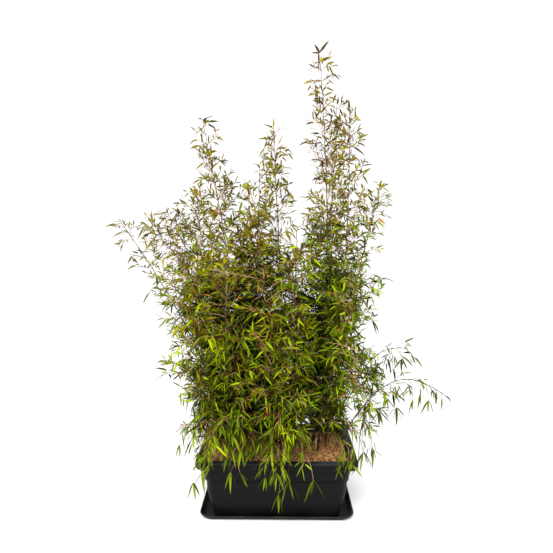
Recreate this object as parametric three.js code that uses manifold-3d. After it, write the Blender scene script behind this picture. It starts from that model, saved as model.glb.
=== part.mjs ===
// Potted bamboo: a small-leaved clumping bamboo with dark canes, in a rectangular trough on a saucer.
//
// Sizes are in millimetres. +Z is up, -Y is the front, and the origin is under the middle of the
// saucer. The trough, saucer and soil are lofted from rounded rectangles. Each cane is one tapering
// limb. Each mass of foliage is one stem with twigs and leaves, grown by a seeded rule inside a space
// of its own, so that no two masses meet.

import * as THREE from 'three';
import Module from 'manifold-3d';

const wasm = await Module();
wasm.setup();

// ---------------------------------------------------------------------------------------------
// Driving dimensions

const clearance = 0.3;
const cornerDivisions = 2;

// Each level is a height, then how far it is drawn in from the full length and width at each side.
const saucer = { length: 576, width: 364, corner: 44, height: 19, floor: 2.5, lip: 5 };
const saucerOutside = [
  [0, 14, 14],
  [8, 5, 5],
  [15, 0, 0],
  [saucer.height, 1.5, 1.5],
];
const saucerInside = [
  [saucer.floor, 18, 18],
  [9, 10, 10],
  [saucer.height + 1, saucer.lip, saucer.lip],
];

const trough = { length: 600, width: 400, corner: 40, base: saucer.floor + clearance, wall: 3.5, floor: 4 };
const rim = { top: 230, bottom: 200, chamfer: 5, overhang: 26 };
const belt = { height: 102, inset: 39 };
const step = { height: 143, insetBelow: 36.5, insetAbove: 31 };
const baseInset = { x: 63, y: 43 };
const troughOutside = [
  [trough.base, baseInset.x, baseInset.y],
  [belt.height, belt.inset, belt.inset],
  [step.height, step.insetBelow, step.insetBelow],
  [step.height, step.insetAbove, step.insetAbove],
  [rim.bottom, rim.overhang, rim.overhang],
  [rim.bottom, 0, 0],
  [rim.top - rim.chamfer, 0, 0],
  [rim.top, rim.chamfer, rim.chamfer],
];
const wallLevels = (inward) => [
  [trough.base + trough.floor, baseInset.x + inward, baseInset.y + inward],
  [belt.height, belt.inset + inward, belt.inset + inward],
  [step.height, step.insetBelow + inward, step.insetBelow + inward],
];
const troughInside = [
  ...wallLevels(trough.wall),
  [rim.top + 1, rim.overhang + trough.wall, rim.overhang + trough.wall],
];

// The soil fills the trough to below its rim, highest in the middle.
const soil = { top: 210, edge: 202, gap: 0.5, edgeInset: 34.5, shoulder: 90 };
const soilLevels = [
  ...wallLevels(trough.wall + soil.gap).map(([height, x, y]) => [height + soil.gap, x, y]),
  [soil.edge, soil.edgeInset, soil.edgeInset],
  [soil.top, soil.shoulder, soil.shoulder],
];

// Canes: foot x, y; tip x, y, z; how far the middle bows along x and z; length left to the plume;
// and the width of the plume's space, from its start to its tip.
const caneFoot = { z: soil.top + clearance, radius: 3.6 };
const caneTipRadius = 2.4;
const caneSides = 6;
const caneSteps = 5;
const canes = {
  tallest: { foot: [140, 20], tip: [160, 30, 1735], bow: [43, 0], plume: 640, space: [150, 70] },
  tall_rear: { foot: [150, 70], tip: [239, 135, 1580], bow: [8, 0], plume: 520, space: [140, 66] },
  tall_right: { foot: [155, -40], tip: [262, -85, 1498], bow: [38, 0], plume: 480, space: [140, 66] },
  right: { foot: [190, 0], tip: [389, -5, 1235], bow: [-12, 0], plume: 380, space: [150, 80] },
  middle: { foot: [30, 40], tip: [-15, 45, 1462], bow: [6, 0], plume: 540, space: [160, 68] },
  middle_left: { foot: [-60, -50], tip: [-62, -75, 1300], bow: [-14, 0], plume: 400, space: [160, 80] },
  left_tall: { foot: [-120, 10], tip: [-283, 10, 1486], bow: [26, 0], plume: 500, space: [160, 68] },
  left_rear: { foot: [-160, 60], tip: [-446, 95, 1150], bow: [62, 0], plume: 330, space: [150, 85] },
  left_front: { foot: [-170, -60], tip: [-476, -105, 1090], bow: [55, 130], plume: 330, space: [150, 85] },
  left_far: { foot: [-185, 0], tip: [-600, 0, 1100], bow: [55, 0], plume: 420, space: [150, 72] },
  left_back: { foot: [-130, 90], tip: [-353, 180, 1225], bow: [-8, 0], plume: 360, space: [160, 85] },
  back: { foot: [-60, 115], tip: [-125, 215, 1232], bow: [0, 0], plume: 400, space: [170, 90] },
  back_right: { foot: [95, 115], tip: [180, 240, 1150], bow: [0, 0], plume: 360, space: [165, 90] },
  front_left: { foot: [-90, -105], tip: [-225, -225, 1030], bow: [0, 0], plume: 330, space: [165, 95] },
  front: { foot: [50, -110], tip: [70, -240, 1075], bow: [0, 0], plume: 350, space: [165, 95] },
  low_right: { foot: [210, -60], tip: [650, -70, 437], bow: [0, 165], plume: 270, space: [100, 75] },
  low_right_rear: { foot: [205, 50], tip: [520, 40, 600], bow: [0, 130], plume: 240, space: [120, 90] },
};

// Sprays fill the crown round the canes in three tiers. Each hangs on the nearest cane: its stem leaves
// the cane at one height, goes out to the crown's side and bends there, up or down, to its tip.
const compass = {
  right: [1, 0],
  back_right: [0.85, 0.95],
  back: [0, 1],
  back_left: [-0.85, 0.95],
  left: [-1, 0],
  front_left: [-0.85, -0.95],
  front: [0, -1],
  front_right: [0.85, -0.95],
};
const allSides = Object.keys(compass);
const allBut = (...left) => allSides.filter((side) => !left.includes(side));
const tierSides = { low: allSides, middle: allBut('back'), upper: allBut('left', 'back') };
const tiers = {
  low: { centre: 0, halfLength: 338, halfWidth: 255, from: 400, to: 225, reach: 165 },
  middle: { centre: -20, halfLength: 360, halfWidth: 255, from: 430, to: 650, reach: 175 },
  upper: { centre: -40, halfLength: 365, halfWidth: 250, from: 680, to: 900, reach: 175 },
};
const trailing = {
  front: { side: [85, -264], from: 370, to: 120, reach: 90 },
  left: { side: [-345, -95], from: 370, to: 150, reach: 90 },
};
const outwardRise = 30;
const stemSteps = 4;
const stemSides = 4;
const stemRadius = { start: 3.2, tip: 2.4 };
const collarLength = 12;

// Twigs stand round their stem, each turned on from the last. A twig's full length is tried first, and
// then shorter ones.
const goldenTurn = THREE.MathUtils.degToRad(137.5);
const twig = { sides: 3, startRadius: 1.6, tipRadius: 1.3, lean: THREE.MathUtils.degToRad(50) };
const twigVariety = [0.8, 1.15];
const twigTries = [1, 0.7, 0.45];

// How a mass grows: the way between its nodes, and its twigs and leaves as shares of its space's width.
const growth = {
  plume: { spacing: 68, twigShare: 0.28, leafShare: 0.78, leafWidth: 0.24, leavesOnTwig: 3 },
  trailer: { spacing: 60, twigShare: 0.3, leafShare: 1.1, leafWidth: 0.2, leavesOnTwig: 2 },
  spray: { spacing: 74, twigShare: 0.32, leafShare: 0.8, leafWidth: 0.25, leavesOnTwig: 3 },
};

// A leaf's shape, and where leaves root on a twig, counted back from its tip.
const leaf = { widestAt: 0.3, thickness: 2.8, arch: 0.05, firstRoot: 0.05, rootStep: 0.2 };
const leafDroop = [0.15, 0.85];
const leafSpreads = [0.1, 0.9, -0.9];
const tipLeaves = { share: 0.985, spreads: [0, 0.8, -0.8], droop: [0, 0.3] };

// Each try at a leaf turns it and rolls it anew, and makes it a little smaller.
const leafTries = { count: 10, turn: 0.35, roll: 0.9, largest: 1.1, smallest: 0.75, shrink: 0.02 };

// Leaves of one mass stay this share of a leaf's width apart, tested at these places along them.
const leafApart = 0.5;
const leafChecks = [0, 0.35, 0.7, 1];
const leafMiddle = 0.3;

// A mass's space: how much nearer its own stem is than any other, and what twigs and leaves keep off.
const nearerBy = 0.05;
const keepOff = 2.5;
const troughMargin = 8;
const sampleStep = 12;

// ---------------------------------------------------------------------------------------------
// Seeded chance

// A fixed number from 0 to 1 for each set of whole-number keys.
function chance(...keys) {
  let hash = 2166136261;
  for (const key of keys) {
    hash = Math.imul(hash ^ key, 16777619);
    hash ^= hash >>> 13;
    hash = Math.imul(hash, 1540483477);
    hash ^= hash >>> 15;
  }
  return (hash >>> 0) / 4294967296;
}

function chanceBetween(low, high, ...keys) {
  return low + (high - low) * chance(...keys);
}

// ---------------------------------------------------------------------------------------------
// Solids

const vector = (x, y, z) => new THREE.Vector3(x, y, z);
const up = vector(0, 0, 1);

// A closed solid through a row of rings. A ring of one point is a pointed end.
function loft(rings) {
  const faces = [];
  let start = 0;
  for (let k = 0; k + 1 < rings.length; k++) {
    const here = rings[k].length;
    const there = rings[k + 1].length;
    const next = start + here;
    const sides = Math.max(here, there);
    for (let i = 0; i < sides; i++) {
      const j = (i + 1) % sides;
      if (here > 1) faces.push(start + i, start + j, next + (j % there));
      if (there > 1) faces.push(start + (i % here), next + j, next + i);
    }
    start = next;
  }
  for (let i = 1; i + 1 < rings[0].length; i++) faces.push(0, i + 1, i);
  for (let i = 1; i + 1 < rings.at(-1).length; i++) faces.push(start, start + i, start + i + 1);
  const vertProperties = new Float32Array(rings.flat().flatMap((point) => point.toArray()));
  return new wasm.Manifold(new wasm.Mesh({ numProp: 3, vertProperties, triVerts: new Uint32Array(faces) }));
}

// The union's largest closed skin: this drops loose scraps and fills sealed hollows.
function fuse(solids) {
  const skins = wasm.Manifold.union(solids).decompose();
  return skins.reduce((best, skin) => (skin.volume() > best.volume() ? skin : best));
}

// A level ring: a rounded rectangle, with the corner's arc in a few steps.
function roundedRing(size, [height, inX, inY]) {
  const outline = new THREE.Shape();
  const x = size.length / 2 - inX - size.corner;
  const y = size.width / 2 - inY - size.corner;
  const quarter = Math.PI / 2;
  outline.absarc(x, y, size.corner, 0, quarter, false);
  outline.absarc(-x, y, size.corner, quarter, 2 * quarter, false);
  outline.absarc(-x, -y, size.corner, 2 * quarter, 3 * quarter, false);
  outline.absarc(x, -y, size.corner, 3 * quarter, 4 * quarter, false);
  return outline.getPoints(cornerDivisions).map((point) => vector(point.x, point.y, height));
}

function tray(size, levels) {
  return loft(levels.map((level) => roundedRing(size, level)));
}

// A tapering limb along a row of points. Its first end is square to a given direction, or to the limb.
function limb(points, [startRadius, tipRadius], sides, startDirection) {
  const last = points.length - 1;
  const reference = points[last].clone().sub(points[0]).cross(up).normalize();
  const rings = points.map((point, i) => {
    const chord = points[Math.min(i + 1, last)].clone().sub(points[Math.max(i - 1, 0)]).normalize();
    const along = i === 0 && startDirection ? startDirection : chord;
    const across = reference.clone().addScaledVector(along, -along.dot(reference)).normalize();
    const other = along.clone().cross(across);
    const radius = THREE.MathUtils.lerp(startRadius, tipRadius, i / last);
    return Array.from({ length: sides }, (_, k) => {
      const turn = (2 * Math.PI * k) / sides;
      const offset = across.clone().multiplyScalar(Math.cos(turn)).addScaledVector(other, Math.sin(turn));
      return point.clone().addScaledVector(offset, radius);
    });
  });
  return loft(rings);
}

// ---------------------------------------------------------------------------------------------
// Canes and stems as rows of points

// The point a given share of the way along a row of points, counted in steps.
function pointAlong(points, share) {
  const place = share * (points.length - 1);
  const step = Math.min(Math.floor(place), points.length - 2);
  return points[step].clone().lerp(points[step + 1], place - step);
}

function directionAlong(points, share) {
  const step = Math.min(Math.floor(share * (points.length - 1)), points.length - 2);
  return points[step + 1].clone().sub(points[step]).normalize();
}

// How near a point comes to a row of points, as a share of a width that changes along the row.
function nearness(points, widths, place) {
  let least = { share: Infinity, distance: Infinity, at: 0 };
  for (let i = 0; i + 1 < points.length; i++) {
    const line = new THREE.Line3(points[i], points[i + 1]);
    const t = line.closestPointToPointParameter(place, true);
    const distance = line.at(t, vector(0, 0, 0)).distanceTo(place);
    const at = (i + t) / (points.length - 1);
    const share = distance / THREE.MathUtils.lerp(widths[0], widths[1], at);
    if (share < least.share) least = { share, distance, at };
  }
  return least;
}

// A cane's place at a share of its length: a straight line with a bow in the middle.
function caneAt({ foot, tip, bow }, share) {
  const swing = Math.sin(Math.PI * share);
  const from = vector(foot[0], foot[1], caneFoot.z);
  return from.lerp(vector(...tip), share).add(vector(bow[0] * swing, 0, bow[1] * swing));
}

function caneStretch(cane, from, to, steps) {
  return Array.from({ length: steps + 1 }, (_, k) => caneAt(cane, from + ((to - from) * k) / steps));
}

const limbs = Object.entries(canes).map(([name, cane]) => {
  const length = caneAt(cane, 0).distanceTo(caneAt(cane, 1));
  const split = 1 - cane.plume / length;
  const splitRadius = THREE.MathUtils.lerp(caneFoot.radius, caneTipRadius, split);
  const points = caneStretch(cane, 0, split, caneSteps);
  return { name, cane, points, split, radii: [caneFoot.radius, splitRadius] };
});

// A plume's stem carries its cane on to the tip.
const plumes = limbs.map((one) => {
  const startDirection = directionAlong(one.points, 1);
  const points = caneStretch(one.cane, one.split, 1, stemSteps);
  points[0].addScaledVector(startDirection, clearance);
  return {
    name: `plume_${one.name}`,
    points,
    startDirection,
    widths: one.cane.space,
    radii: [one.radii[1], caneTipRadius],
    ...growth.plume,
  };
});

// A spray's stem leaves a cane square to it, then bends over to its tip.
function sprayPoints({ points, radii }, height, target) {
  const share = (height - points[0].z) / (points.at(-1).z - points[0].z);
  const root = pointAlong(points, share);
  const along = directionAlong(points, share);
  const outward = target.clone().sub(root);
  outward.addScaledVector(along, -along.dot(outward)).normalize();
  const radius = THREE.MathUtils.lerp(radii[0], radii[1], share);
  const start = root.addScaledVector(outward, radius + clearance);
  const collar = start.clone().addScaledVector(outward, collarLength);
  const bend = vector(target.x, target.y, collar.z + outwardRise);
  return [start, ...new THREE.QuadraticBezierCurve3(collar, bend, target).getPoints(stemSteps)];
}

function clearOfLimbs(from, to, halfWidth, except) {
  const samples = Math.ceil(from.distanceTo(to) / sampleStep);
  return Array.from({ length: samples + 1 }, (_, k) => from.clone().lerp(to, k / samples)).every((place) =>
    limbs.every((one) => one === except
      || nearness(one.points, one.radii, place).distance > one.radii[0] + halfWidth + keepOff));
}

// The nearest cane that the stem can leave without meeting another cane.
function hangSpray(name, height, target, reach, habit) {
  const beside = vector(target.x, target.y, height);
  const distanceTo = (one, place) => nearness(one.points, one.radii, place).distance;
  const choices = limbs
    .filter(({ points }) => points[0].z < height && height < points.at(-1).z - keepOff)
    .sort((a, b) => distanceTo(a, beside) - distanceTo(b, beside));
  for (const one of choices) {
    const points = sprayPoints(one, height, target);
    const free = points.slice(1).every((point, k) => clearOfLimbs(points[k], point, stemRadius.start, one));
    if (free && points.slice(2).every((point) => distanceTo(one, point) > collarLength)) {
      return {
        name,
        points,
        widths: [reach, reach],
        radii: [stemRadius.start, stemRadius.tip],
        ...habit,
      };
    }
  }
  throw new Error(`no cane can carry ${name}`);
}

const sprays = Object.entries(tiers).flatMap(([tierName, tier]) => tierSides[tierName].map((side) => {
  const [toRight, toBack] = compass[side];
  const target = vector(tier.centre + tier.halfLength * toRight, tier.halfWidth * toBack, tier.to);
  return hangSpray(`spray_${tierName}_${side}`, tier.from, target, tier.reach, growth.spray);
}));
const trailers = Object.entries(trailing).map(([side, one]) =>
  hangSpray(`spray_trailing_${side}`, one.from, vector(...one.side, one.to), one.reach, growth.trailer));

const masses = [...plumes, ...sprays, ...trailers];

// ---------------------------------------------------------------------------------------------
// Growth

// How far a place is from the trough and its rim, less a margin.
function troughRoom({ x, y, z }) {
  const beside = Math.max(Math.abs(x) - trough.length / 2, Math.abs(y) - trough.width / 2);
  return Math.max(beside, z - rim.top) - troughMargin;
}

// A place is in a mass's space when it is within reach of its stem and nearer to it than to others,
// and it is over the soil or outside the trough.
function inSpace(place, mass) {
  const own = nearness(mass.points, mass.widths, place).share;
  if (own > 1 || troughRoom(place) < 0 || place.z < saucer.height + troughMargin) return false;
  return masses.every((other) => other === mass
    || nearness(other.points, other.widths, place).share > own + nearerBy);
}

function isFree(from, to, halfWidth, mass) {
  const samples = Math.ceil(from.distanceTo(to) / sampleStep);
  const places = Array.from({ length: samples + 1 }, (_, k) => from.clone().lerp(to, k / samples));
  return places.every((place) => inSpace(place, mass)) && clearOfLimbs(from, to, halfWidth);
}

// A leaf is a blade with a keel-shaped section: its root, its widest ring and its tip.
function leafRings(root, direction, length, width, roll) {
  const side = direction.clone().cross(up).normalize().applyAxisAngle(direction, roll);
  const ridge = side.clone().cross(direction);
  const middle = root.clone().addScaledVector(direction, length * leaf.widestAt);
  middle.addScaledVector(ridge, length * leaf.arch);
  const widest = [
    middle.clone().addScaledVector(side, -width / 2),
    middle.clone().addScaledVector(ridge, leaf.thickness),
    middle.clone().addScaledVector(side, width / 2),
  ];
  return [[root], widest, [root.clone().addScaledVector(direction, length)]];
}

// The outer part of a leaf as a line, to keep the leaves of one mass from crossing.
function outerLine([root], [tip]) {
  return [root.clone().lerp(tip, leaf.widestAt), tip];
}

function crosses(line, others, gap) {
  return leafChecks.some((share) => {
    const place = pointAlong(line, share);
    return others.some((other) => nearness(other, [1, 1], place).distance < gap);
  });
}

// Tries a leaf in a few directions round its twig, and adds the first that is free.
function growLeaf({ root, twigDirection, spread, droop, length, width }, mass, grown, ...keys) {
  const sideways = twigDirection.clone().cross(up).normalize();
  const { turn, roll, largest, smallest, shrink } = leafTries;
  for (let attempt = 0; attempt < leafTries.count; attempt++) {
    const direction = twigDirection.clone()
      .addScaledVector(sideways, spread + chanceBetween(-turn, turn, ...keys, attempt, 1))
      .addScaledVector(up, -chanceBetween(...droop, ...keys, attempt, 2))
      .normalize();
    const size = chanceBetween(largest, smallest, ...keys, attempt, 3) - attempt * shrink;
    const rolled = chanceBetween(-roll, roll, ...keys, attempt, 4);
    const rings = leafRings(root, direction, length * size, width * size, rolled);
    const [, [left, , right], [tip]] = rings;
    const edges = [[root, left], [root, right], [left, tip], [right, tip]];
    const line = outerLine(rings[0], rings[2]);
    if (crosses(line, grown.lines, width * leafApart)) continue;
    if (isFree(root, tip, width * leafMiddle, mass)
      && edges.every(([from, to]) => isFree(from, to, keepOff, mass))) {
      grown.lines.push(line);
      grown.solids.push(loft(rings));
      return;
    }
  }
}

function growMass(mass, seed) {
  const { points, widths, radii, startDirection } = mass;
  const grown = { lines: [], solids: [limb(points, radii, stemSides, startDirection)] };
  const length = points.slice(1).reduce((sum, point, k) => sum + point.distanceTo(points[k]), 0);
  const nodes = Math.round(length / mass.spacing);
  for (let node = 0; node < nodes; node++) {
    const share = (node + 1) / (nodes + 0.5);
    const base = pointAlong(points, share);
    const along = directionAlong(points, share);
    const turn = node * goldenTurn + chanceBetween(0, 1, seed, node, 5);
    const outward = along.clone().cross(up).normalize().applyAxisAngle(along, turn);
    const direction = along.clone().multiplyScalar(Math.cos(twig.lean))
      .addScaledVector(outward, Math.sin(twig.lean));
    const width = THREE.MathUtils.lerp(widths[0], widths[1], share);
    const fullLength = width * mass.twigShare * chanceBetween(...twigVariety, seed, node, 6);
    const reachOut = (distance) => base.clone().addScaledVector(direction, distance);
    const twigLength = twigTries.map((part) => part * fullLength)
      .find((part) => isFree(base, reachOut(part), twig.startRadius, mass));
    if (!twigLength) continue;
    const end = reachOut(twigLength);
    grown.solids.push(limb([base, end], [twig.startRadius, twig.tipRadius], twig.sides));
    for (let k = 0; k < mass.leavesOnTwig; k++) {
      const root = end.clone().lerp(base, leaf.firstRoot + k * leaf.rootStep);
      const size = { length: width * mass.leafShare, width: width * mass.leafShare * mass.leafWidth };
      const place = { root, twigDirection: direction, spread: leafSpreads[k], droop: leafDroop, ...size };
      growLeaf(place, mass, grown, seed, node, k);
    }
  }
  const root = pointAlong(points, tipLeaves.share);
  const size = { length: widths[1] * mass.leafShare, width: widths[1] * mass.leafShare * mass.leafWidth };
  const twigDirection = directionAlong(points, 1);
  for (const [k, spread] of tipLeaves.spreads.entries()) {
    growLeaf({ root, twigDirection, spread, droop: tipLeaves.droop, ...size }, mass, grown, seed, nodes, k);
  }
  return fuse(grown.solids);
}

// ---------------------------------------------------------------------------------------------
// Pieces

const finishes = {
  plastic: { color: 0x1c1d1e, roughness: 0.62, metalness: 0 },
  dusty_plastic: { color: 0x2b2926, roughness: 0.7, metalness: 0 },
  bark_chips: { color: 0x8a5c33, roughness: 0.95, metalness: 0 },
  cane: { color: 0x2a1a1c, roughness: 0.45, metalness: 0 },
  leaves: { color: 0x5d7a1f, roughness: 0.6, metalness: 0 },
};

function piece(name, solid, finish) {
  const { vertProperties, triVerts } = solid.getMesh();
  const geometry = new THREE.BufferGeometry();
  geometry.setAttribute('position', new THREE.BufferAttribute(vertProperties, 3));
  geometry.setIndex(new THREE.BufferAttribute(triVerts, 1));
  geometry.computeVertexNormals();
  const mesh = new THREE.Mesh(geometry, new THREE.MeshStandardMaterial(finishes[finish]));
  mesh.name = name;
  return mesh;
}

const plant = new THREE.Group();
const saucerShell = tray(saucer, saucerOutside).subtract(tray(saucer, saucerInside));
const troughShell = tray(trough, troughOutside).subtract(tray(trough, troughInside));
plant.add(piece('saucer', saucerShell, 'dusty_plastic'));
plant.add(piece('trough', troughShell, 'plastic'));
plant.add(piece('soil', tray(trough, soilLevels), 'bark_chips'));
for (const { name, points, radii } of limbs) {
  plant.add(piece(`cane_${name}`, limb(points, radii, caneSides, up), 'cane'));
}
for (const [seed, mass] of masses.entries()) {
  plant.add(piece(mass.name, growMass(mass, seed), 'leaves'));
}

export default plant;
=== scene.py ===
import math

import bpy
import numpy as np
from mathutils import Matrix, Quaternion, Vector
from mathutils.geometry import intersect_point_line


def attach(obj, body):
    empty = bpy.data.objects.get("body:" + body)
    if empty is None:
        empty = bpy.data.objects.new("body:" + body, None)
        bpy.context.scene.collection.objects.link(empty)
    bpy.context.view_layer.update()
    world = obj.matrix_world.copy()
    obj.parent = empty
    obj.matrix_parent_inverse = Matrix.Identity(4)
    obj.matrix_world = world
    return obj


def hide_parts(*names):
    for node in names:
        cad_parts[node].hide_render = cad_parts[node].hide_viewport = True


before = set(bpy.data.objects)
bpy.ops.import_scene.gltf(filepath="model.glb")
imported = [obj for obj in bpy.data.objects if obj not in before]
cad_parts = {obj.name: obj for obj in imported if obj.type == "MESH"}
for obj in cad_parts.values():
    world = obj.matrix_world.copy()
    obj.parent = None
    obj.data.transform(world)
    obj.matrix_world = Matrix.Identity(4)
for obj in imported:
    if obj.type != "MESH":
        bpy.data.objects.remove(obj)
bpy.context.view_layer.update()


# ---------------------------------------------------------------------------------------------
# Camera: it stands in front of the trough at about chest height and looks slightly down.
camera_data = bpy.data.cameras.new("camera")
camera_data.lens = 34.3
camera_data.sensor_width = 36
camera = bpy.data.objects.new("camera", camera_data)
camera.location = (0.023, -2.029, 1.079)
camera.rotation_euler = (math.radians(90 - 5.32), 0, math.radians(0.72))
bpy.context.collection.objects.link(camera)
bpy.context.scene.camera = camera
bpy.context.scene.view_settings.view_transform = "Standard"


# ---------------------------------------------------------------------------------------------
# Saucer: a shallow tray of black injection-moulded plastic with a rolled lip, which catches the run-off.
# Dust and dried soil have settled on its lip and floor, and a painted highlight makes the lip paler.
# Sizes are in millimetres.
MM = 0.001
SAUCER_SIZE = (576, 364, 44)
# The section from the underside out over the lip and in to the floor: height, and how far it is drawn in.
SAUCER_PROFILE = [
    (0.0, 40), (0.0, 15), (1.2, 13), (8, 5.5), (14, 1.2), (16.5, 0.2), (18.2, 0.6), (19, 2.2),
    (18.6, 4.0), (17.2, 5.0), (9, 10.5), (3.6, 16), (2.5, 18.5), (2.5, 40),
]
CORNER_STEPS = 10
CORNER_TIGHTENING = 0.25
SMALLEST_CORNER = 4


def linear(hex_colour):
    """A colour written as screen hex, as the four linear numbers that a shader takes."""
    parts = [int(hex_colour[i:i + 2], 16) / 255 for i in (1, 3, 5)]
    return [p / 12.92 if p <= 0.04045 else ((p + 0.055) / 1.055) ** 2.4 for p in parts] + [1.0]


def link_mesh(name, points, faces, material=None, smooth=True):
    """A mesh object from points in millimetres."""
    mesh = bpy.data.meshes.new(name)
    mesh.from_pydata((np.asarray(points, dtype=float) * MM).tolist(), [], faces)
    mesh.update()
    if smooth:
        mesh.shade_smooth()
    if material:
        mesh.materials.append(material)
    made = bpy.data.objects.new(name, mesh)
    bpy.context.collection.objects.link(made)
    return made


def rounded_ring(size, inset_x, inset_y, height):
    """A rounded rectangle drawn in from the full size, as points."""
    length, width, corner = size
    radius = max(corner - min(inset_x, inset_y) * CORNER_TIGHTENING, SMALLEST_CORNER)
    x = length / 2 - inset_x - radius
    y = width / 2 - inset_y - radius
    points = []
    for quarter, (sx, sy) in enumerate([(1, 1), (-1, 1), (-1, -1), (1, -1)]):
        for k in range(CORNER_STEPS + 1):
            turn = (quarter + k / CORNER_STEPS) * math.pi / 2
            points.append((sx * x + radius * math.cos(turn), sy * y + radius * math.sin(turn), height))
    return points


def skin_rings(rings):
    """Points and faces of the closed skin round a row of equal rings, with a flat cap at each end."""
    count = len(rings[0])
    points = [p for ring in rings for p in ring]
    faces = []
    for k in range(len(rings) - 1):
        for i in range(count):
            j = (i + 1) % count
            a, b = k * count, (k + 1) * count
            faces.append((a + i, a + j, b + j, b + i))
    faces.append(tuple(reversed(range(count))))
    faces.append(tuple(range((len(rings) - 1) * count, len(rings) * count)))
    return points, faces


class Shade:
    """One socket of a node tree, so that a mask is written as a sum."""

    def __init__(self, tree, socket=None):
        self.tree = tree
        self.socket = socket

    def join(self, value, socket):
        if isinstance(value, Shade):
            self.tree.links.new(value.socket, socket)
        else:
            socket.default_value = value

    def node(self, kind, settings, values, output=0):
        """Adds a node: its settings first, then the values or links of its sockets."""
        made = self.tree.nodes.new(kind)
        for name, value in settings.items():
            setattr(made, name, value)
        for name, value in values.items():
            self.join(value, made.inputs[name])
        return Shade(self.tree, made.outputs[output])

    def math(self, operation, first, second):
        return self.node("ShaderNodeMath", {"operation": operation}, {0: first, 1: second})

    def __add__(self, other):
        return self.math("ADD", self, other)

    def __sub__(self, other):
        return self.math("SUBTRACT", self, other)

    def __rsub__(self, other):
        return self.math("SUBTRACT", other, self)

    def __mul__(self, other):
        return self.math("MULTIPLY", self, other)

    __radd__ = __add__
    __rmul__ = __mul__

    def clamp(self):
        return self.node("ShaderNodeClamp", {}, {"Value": self})

    def between(self, low, high):
        """0 below the low value and 1 above the high one, smoothly."""
        settings = {"interpolation_type": "SMOOTHSTEP"}
        return self.node("ShaderNodeMapRange", settings, {"Value": self, "From Min": low, "From Max": high})

    def place(self):
        """Where each point of the object lies, in metres."""
        return self.node("ShaderNodeTexCoord", {}, {}, output=3)

    def stretch(self, place, scale):
        return self.node("ShaderNodeMapping", {"vector_type": "POINT"}, {"Vector": place, "Scale": scale})

    def noise(self, place, scale, detail, roughness):
        values = {"Vector": place, "Scale": scale, "Detail": detail, "Roughness": roughness}
        return self.node("ShaderNodeTexNoise", {}, values)

    def mix(self, factor, first, second):
        return self.node("ShaderNodeMix", {"data_type": "RGBA"}, {0: factor, 6: first, 7: second}, output=2)

    def bump(self, height, strength, distance):
        return self.node("ShaderNodeBump", {}, {"Height": height, "Strength": strength, "Distance": distance})

    def surface(self, colour, roughness, specular=0.5, normal=None):
        """Hands a material's shader its values."""
        inputs = self.tree.nodes["Principled BSDF"].inputs
        self.join(colour, inputs["Base Color"])
        self.join(roughness, inputs["Roughness"])
        self.join(specular, inputs["Specular IOR Level"])
        if normal:
            self.join(normal, inputs["Normal"])


def new_material(name):
    """A material, and a Shade to paint it with."""
    material = bpy.data.materials.new(name)
    material.use_nodes = True
    return material, Shade(material.node_tree)


def plain_material(name, colour, roughness, specular=0.5):
    """A material of one even colour."""
    material, paint = new_material(name)
    paint.surface(linear(colour), roughness, specular)
    return material


def moulded_plastic(name, colour, worn_and_highlight, dust, dust_height, lip_height):
    """Grained black plastic. Dust lies low down, the upper edge is paler, partly rubbed and partly a painted
    highlight, and streaks run down.
    """
    material, paint = new_material(name)
    place = paint.place()
    height = paint.node("ShaderNodeSeparateXYZ", {}, {"Vector": place}, output=2)
    cloud = paint.noise(place, 9.0, 5.0, 0.6)
    specks = paint.noise(place, 160.0, 2.0, 0.6).between(0.62, 0.72)
    streaks = paint.noise(paint.stretch(place, (60, 60, 3)), 1.0, 3.0, 0.55).between(0.5, 0.75)
    low = 1 - height.between(dust_height * 0.2, dust_height)
    dusty = (low * cloud.between(0.35, 0.7) + streaks * 0.16 + specks * 0.12).clamp()
    # The paler band along the top edge is partly wear and partly a painted highlight.
    rubbed_and_highlight = height.between(lip_height - 0.012, lip_height) * cloud.between(0.3, 0.75)
    body = paint.mix(dusty, linear(colour), linear(dust))
    grain = paint.noise(place, 900.0, 2.0, 0.6)
    waves = paint.noise(place, 24.0, 2.0, 0.5)
    paint.surface(paint.mix(rubbed_and_highlight * 0.8, body, linear(worn_and_highlight)), 0.44 + dusty * 0.3 + cloud * 0.14, 0.11,
                  paint.bump(grain + waves * 4.0, 0.22, 0.0006))
    return material


saucer_rings = [rounded_ring(SAUCER_SIZE, inset, inset, height) for height, inset in SAUCER_PROFILE]
# The worn colour also serves as the painted highlight on the lip.
saucer_plastic = moulded_plastic("saucer_plastic", "#0c0c0c", worn_and_highlight="#3c3934", dust="#231f1b",
                                 dust_height=0.02, lip_height=0.019)
saucer = link_mesh("saucer_tray", *skin_rings(saucer_rings), saucer_plastic)
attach(saucer, "root")
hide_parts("saucer")


# ---------------------------------------------------------------------------------------------
# Trough: a rectangular planter moulded in one piece of black plastic. Its walls taper to the base, with
# a belt, a collar set in above it, and a deep rolled rim. It stands loose in the saucer.
TROUGH_SIZE = (600, 400, 40)
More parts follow.
